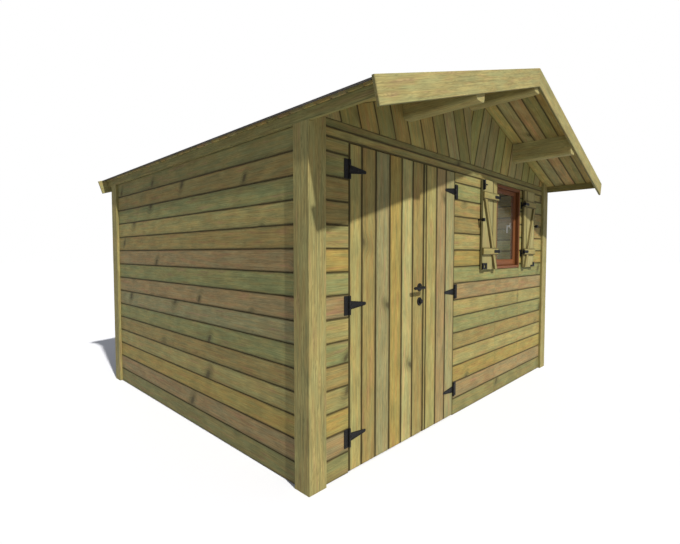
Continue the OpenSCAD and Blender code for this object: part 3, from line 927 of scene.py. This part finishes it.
# The neck comes out of the leaf, bends a quarter turn and runs on as the grip
NECK, GRIP = 0.034, 0.113  # from the wall's face to the bend, and from the bend to the tip
NECK_R, GRIP_R = 0.0084, 0.0104
BEND_X, BEND_Y, BEND_STEPS = 0.014, 0.0125, 5
lever = Part("lever_handle")
neck = [(lever_x, wall_y + out, lever_z) for out in (0.018, -0.009, -NECK)]
radii = [0.0079, 0.0079, NECK_R]
for k in range(1, BEND_STEPS + 1):
    a = k / BEND_STEPS * math.pi / 2
    x = lever_x - BEND_X * (1 - math.cos(a))
    neck.append((x, wall_y - NECK - BEND_Y * math.sin(a), lever_z))
    radii.append(NECK_R + 0.0018 * k / BEND_STEPS)
rounding = ((0.9, 0.0102), (0.96, 0.0088), (0.99, 0.0060), (1.0, 0.0020))
for along, r in ((0.3, GRIP_R), (0.6, GRIP_R), *rounding):
    neck.append((lever_x - BEND_X - GRIP * along, wall_y - NECK - BEND_Y, lever_z))
    radii.append(r)
tube(lever, neck, radii)
collar = [(0, 0.0125), (0.004, 0.0125), (0.007, 0.0100), (0.008, 0.0070)]
lathe(lever, (lever_x, wall_y - 0.0081, lever_z), OUT, collar)
lever.finish(black_iron, "lever", "black_iron", "door_lever")

# ---- Window ----

MAHOGANY = (0.190, 0.066, 0.020)
STILE, BOTTOM_RAIL = 0.032, 0.050  # of the sash
BEAD, BEAD_LAP = 0.010, 0.002  # width of the glazing bead, and how far it lies on the sash


def frame_ring(part, low, high, width, bottom, top, back, bevel):
    """Two stiles of full height with a rail between them at the top and the bottom."""
    members = [
        (rectangle(low[0], low[1], low[0] + width, high[1]), "v"),
        (rectangle(high[0] - width, low[1], high[0], high[1]), "v"),
        (rectangle(low[0] + width, low[1], high[0] - width, low[1] + bottom), "u"),
        (rectangle(low[0] + width, high[1] - width, high[0] - width, high[1]), "u"),
    ]
    for outline, grain in members:
        wobble = part.random.uniform(0.92, 1.08)
        tint = tuple(c * wobble for c in MAHOGANY)
        prism(part, front(0), outline, top, back, bevel, grain=grain, tint=tint)


low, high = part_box("window_frame")
window_x = (low.x + high.x) / 2
part = Part("window_frame_timber")
frame_ring(part, (low.x, low.z), (high.x, high.z), 0.025, 0.025, -low.y, -high.y, 0.002)
part.finish(window_timber, "shed", "window_timber", "window_frame")

low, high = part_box("window_sash")
part = Part("window_sash_timber")
frame_ring(part, (low.x, low.z), (high.x, high.z), STILE, BOTTOM_RAIL, -low.y, -high.y, 0.004)
bead_low = (low.x + STILE - BEAD_LAP, low.z + BOTTOM_RAIL - BEAD_LAP)
bead_high = (high.x - STILE + BEAD_LAP, high.z - STILE + BEAD_LAP)
frame_ring(part, bead_low, bead_high, BEAD, BEAD, -low.y - 0.004, -low.y - 0.014, 0.003)
part.finish(window_timber, "shed", "window_timber", "window_sash")

low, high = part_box("window_glass")
part = Part("window_pane")
prism(part, front(0), rectangle(low.x, low.z, high.x, high.z), -low.y, -high.y, 0.0005)
part.finish(glass, "shed", "glass", "window_glass")

low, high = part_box("window_handle")
part = Part("window_turn_handle")
half_w, half_h, thick = 0.013, 0.032, 0.009  # of the plate on the sash
middle, pin_z = (low.x + high.x) / 2, high.z - half_h
face = Plane((middle, low.y, pin_z), LEFT, UP)
plate = rounded(rectangle(-half_w, -half_h, half_w, half_h), 0.006)
prism(part, face, plate, thick, 0.0003)
spindle = [(0, 0.009), (0.004, 0.009), (0.006, 0.007), (0.026, 0.007)]
lathe(part, (middle, low.y + thick, pin_z), IN, spindle, 20)
grip = rounded(rectangle(-0.009, low.z - pin_z + 0.001, 0.009, 0.010), 0.006)
prism(part, face, grip, 0.043, 0.032, 0.003)
part.finish(pale_metal, "shed", "pale_metal", "window_handle")

# ---- Shutters ----

SHUTTER_BOARD = 0.018  # thickness of the boards, and of the ledges on them
SHUTTER_SEAM = 0.203  # from the free edge to the joint of the two boards
SHUTTER_LEDGE = 0.062  # height of a ledge
BRACE_W = 0.052  # of the brace's ends, along x
STRAP_H = 0.026  # of the straps on the ledges, and of their eyes
EYE_R = 0.007
shutter_low, shutter_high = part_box("left_shutter")
straps_low, straps_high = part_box("left_shutter_straps")
strap_levels = (straps_low.z + STRAP_H / 2, straps_high.z - STRAP_H / 2)
shutter_back = shutter_high.y
shutter_face = shutter_back - SHUTTER_BOARD
ledge_face = shutter_face - SHUTTER_BOARD
pivot = pins["left_shutter_swing"]


def mirrored(x, side):
    """x beside the window's left, or the same place at its right where side is 1."""
    return x if side < 0 else 2 * window_x - x


def span_x(x0, x1, side):
    """Two such places, the lower first."""
    return sorted((mirrored(x0, side), mirrored(x1, side)))


def upright(x0, x1, z0, z1, side):
    """An upright rectangle, given as at the window's left."""
    x0, x1 = span_x(x0, x1, side)
    return rectangle(x0, z0, x1, z1)


def shutter_leaf(name, side):
    """Two boards, two ledges and a slanting brace between the foot and the upper ledge."""
    low, high = shutter_low, shutter_high
    free, hung = low.x, high.x  # the edges, as at the window's left
    seam = free + SHUTTER_SEAM
    part = Part(name + "_boards")
    face = Plane((0, shutter_back, 0), UP, LEFT)
    for a, b, tint in ((free, seam, "pale"), (seam, hung, "straw")):
        x0, x1 = span_x(a, b, side)
        tint = timber_tint(part, tint)
        board = rectangle(low.z, -x1, high.z, -x0)
        prism(part, face, board, SHUTTER_BOARD, 0, 0.003, 0.004, tint)
    half = SHUTTER_LEDGE / 2
    for z in strap_levels:
        tint = timber_tint(part, "straw")
        ledge = upright(free, hung, z - half, z + half, side)
        prism(part, front(shutter_face), ledge, SHUTTER_BOARD, 0.0002, 0.003, tint=tint)
    foot, top = low.z, strap_levels[1] - half
    end = 0.008  # from the shutter's edge to the brace
    corners = [(hung - end - BRACE_W, foot), (hung - end, foot)]
    corners += [(free + end + BRACE_W, top), (free + end, top)]
    lean = math.atan2(top - foot, free - hung + 2 * end + BRACE_W)
    along = Vector((math.cos(lean) * -side, 0, math.sin(lean)))
    plane = Plane((window_x, shutter_face, foot), along, -along.cross(Vector(OUT)))
    outline = turned(plane.flat([(mirrored(x, side), shutter_face, z) for x, z in corners]))
    prism(part, plane, outline, 0.016, 0.0002, 0.0025, tint=timber_tint(part, "straw"))
    part.finish(shutter_timber, name + "_leaf", "shutter_timber", name)


def shutter_straps(name, side):
    """The iron on the two ledges, its eyes on the pintles' pins."""
    part = Part(name + "_strap_ends")
    hung, pin = shutter_high.x, mirrored(pivot.x, side)
    end = (0, 3) if side < 0 else (1, 2)
    for z in strap_levels:
        strap = upright(hung - 0.084, pivot.x + 0.004, z - STRAP_H / 2, z + STRAP_H / 2, side)
        prism(part, front(ledge_face), rounded(strap, 0.0095, 4, end), 0.003, 0.0, 0.0006)
        for u in (0.070, 0.045, 0.020):
            screw(part, mirrored(hung - u, side), ledge_face - 0.0028, z, 0.0042)
        eye = [(0, 0.0062), (0.001, EYE_R), (STRAP_H - 0.001, EYE_R), (STRAP_H, 0.0062)]
        lathe(part, (pin, pivot.y, z - STRAP_H / 2), UP, eye, 20)
        web = rectangle(pin - 0.0065, z - 0.0128, pin + 0.0065, z + 0.0128)
        prism(part, front(pivot.y), web, 0.0225, 0, 0.0004)
    part.finish(black_iron, name + "_leaf", "black_iron", name + "_straps")


def shutter_fittings(name, side):
    """Iron at the free edge: a bolt and a keeper on the left shutter, an angle on the right one."""
    part = Part(name + "_fittings")
    free, top, z0 = shutter_low.x + 0.001, shutter_high.z, shutter_low.z + 0.004
    if side < 0:
        plate = rounded(rectangle(free, top - 0.090, free + 0.029, top - 0.006), 0.003, 2)
        prism(part, front(shutter_face), plate, 0.004, 0, 0.0006)
        x = free + 0.014
        barrel = [(x, shutter_face - 0.010, top - t) for t in (0.089, 0.087, 0.009, 0.007)]
        tube(part, barrel, [0.004, 0.0075, 0.0075, 0.004], 12)
        knob = [(x + t, shutter_face - 0.011, top - 0.046) for t in (0, 0.002, 0.042, 0.045)]
        tube(part, knob, [0.003, 0.0060, 0.0060, 0.003], 10)
        x1, z1, wide, tall = free + 0.079, z0 + 0.054, 0.024, 0.013
        bars = [(free, z0, x1, z0 + tall), (free, z1 - tall, x1, z1)]
        bars += [(free, z0 + tall, free + wide, z1 - tall), (x1 - wide, z0 + tall, x1, z1 - tall)]
    else:
        x0, x1 = span_x(free, free + 0.085, side)
        bars = [(x0, z0, x1, z0 + 0.017), (x1 - 0.024, z0 + 0.017, x1, z0 + 0.046)]
    for bar in bars:
        prism(part, front(shutter_face), rectangle(*bar), 0.010, 0, 0.0008)
    part.finish(black_iron, name + "_leaf", "black_iron")


for hand, side in SIDES:
    name = hand + "_shutter"
    shutter_leaf(name, side)
    shutter_straps(name, side)
    shutter_fittings(name, side)

PINTLE_W, PINTLE_H = 0.028, 0.070  # of a pintle's wall plate
ARM_H = 0.008
pintles = Part("pintles")
for side in (-1, 1):
    pin = mirrored(pivot.x, side)
    for z in strap_levels:
        arm_top = z - STRAP_H / 2 - 0.001
        half_w, half_h = PINTLE_W / 2, PINTLE_H / 2
        plate = rectangle(pin - half_w, arm_top - half_h, pin + half_w, arm_top + half_h)
        prism(pintles, front(wall_y), rounded(plate, 0.005, 3), 0.003, 0.0, 0.0005)
        arm = rectangle(pin - 0.0065, arm_top - ARM_H, pin + 0.0065, arm_top)
        prism(pintles, front(wall_y), arm, wall_y - pivot.y, 0.002, 0.0006)
        # The boss round the arm's end, then the pin itself
        profile = [(0, 0.006), (0.001, EYE_R), (0.007, EYE_R), (ARM_H, 0.0055)]
        profile += [(0.0085, 0.0039), (0.040, 0.0039), (0.042, 0.003)]
        lathe(pintles, (pin, pivot.y, arm_top - ARM_H), UP, profile, 20)
        for dz in (-0.027, 0.020):
            screw(pintles, pin, wall_y - 0.0028, arm_top + dz, 0.004)
pintles.finish(black_iron, "shed", "black_iron", "shutter_pintles")

# A stop holds each shutter open: a thin shank and a thicker head
STOP_W, SHANK_H, STOP_HEAD_H = 0.026, 0.012, 0.028
stops = Part("stops")
low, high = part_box("shutter_stops")
tip, middle = high.y - low.y, (low.z + high.z) / 2
for side in (-1, 1):
    x0, x1 = low.x, low.x + STOP_W
    shank = upright(x0, x1, middle - SHANK_H / 2, middle + SHANK_H / 2, side)
    head = upright(x0, x1, middle - STOP_HEAD_H / 2, middle + STOP_HEAD_H / 2, side)
    prism(stops, front(wall_y), rounded(shank, 0.003, 3), tip - 0.02, 0.0, 0.0015)
    prism(stops, front(wall_y), rounded(head, 0.005, 3), tip, tip - 0.024, 0.002)
stops.finish(black_iron, "shed", "black_iron", "shutter_stops")

# ---- Camera ----

YAW, PITCH = 0.7983, -0.0453


def link(name, data):
    """A new object in the scene."""
    placed = bpy.data.objects.new(name, data)
    bpy.context.scene.collection.objects.link(placed)
    return placed


def aim(placed, ahead):
    """Turns a camera or a light to look along a direction."""
    placed.rotation_mode = "QUATERNION"
    placed.rotation_quaternion = Vector(ahead).to_track_quat("-Z", "Y")


camera_data = bpy.data.cameras.new("camera")
camera_data.sensor_width = 36.0
camera_data.lens = 21.934
camera = link("camera", camera_data)
camera.location = (-3.169, -2.888, 1.275)
level = math.cos(PITCH)
aim(camera, (math.sin(YAW) * level, math.cos(YAW) * level, math.sin(PITCH)))
bpy.context.scene.camera = camera

# ---- Light ----

sun_data = bpy.data.lights.new("key", "SUN")
sun_data.energy = 3.9
sun_data.angle = math.radians(1.6)
sun_data.color = (1.0, 0.98, 0.92)
aim(link("key", sun_data), (0.2045, 1.0, -1.005))

# Inside the shed, so that what shows through the window and the open doors isn't black
room_data = bpy.data.lights.new("room_fill", "AREA")
room_data.energy = 34
room_data.size = 1.6
link("room_fill", room_data).location = (0.1, 0.2, 1.9)


def by_ray(tree, kind, otherwise, where, socket):
    """Feeds a socket one colour for rays of a kind, and another for all other rays."""
    mix = tree.nodes.new("ShaderNodeMix")
    mix.data_type = "RGBA"
    mix.inputs[6].default_value = (*otherwise, 1)
    mix.inputs[7].default_value = (*where, 1)
    tree.links.new(tree.nodes.new("ShaderNodeLightPath").outputs[kind], mix.inputs[0])
    tree.links.new(mix.outputs[2], socket)


world = bpy.data.worlds.new("studio")
bpy.context.scene.world = world
world.use_nodes = True
background = world.node_tree.nodes["Background"].inputs["Color"]
by_ray(world.node_tree, "Is Camera Ray", (0.24, 0.25, 0.27), (1, 1, 1), background)

# ---- Floor ----

HALF_FLOOR, FLOOR_Z = 60, -0.001
floor_material = bpy.data.materials.new("pale_floor")
floor_material.use_nodes = True
shader = floor_material.node_tree.nodes["Principled BSDF"]
shader.inputs["Roughness"].default_value = 0.9
shader.inputs["Specular IOR Level"].default_value = 0.0
pale, bounced = (0.93, 0.94, 1.0), (0.58, 0.58, 0.58)
by_ray(floor_material.node_tree, "Is Diffuse Ray", pale, bounced, shader.inputs["Base Color"])
floor_mesh = bpy.data.meshes.new("floor")
corners = rectangle(-HALF_FLOOR, -HALF_FLOOR, HALF_FLOOR, HALF_FLOOR)
floor_mesh.from_pydata([(x, y, FLOOR_Z) for x, y in corners], [], [(0, 1, 2, 3)])
floor_mesh.materials.append(floor_material)
link("floor", floor_mesh)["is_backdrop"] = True

bpy.context.scene.view_settings.view_transform = "Standard"

low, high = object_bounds()
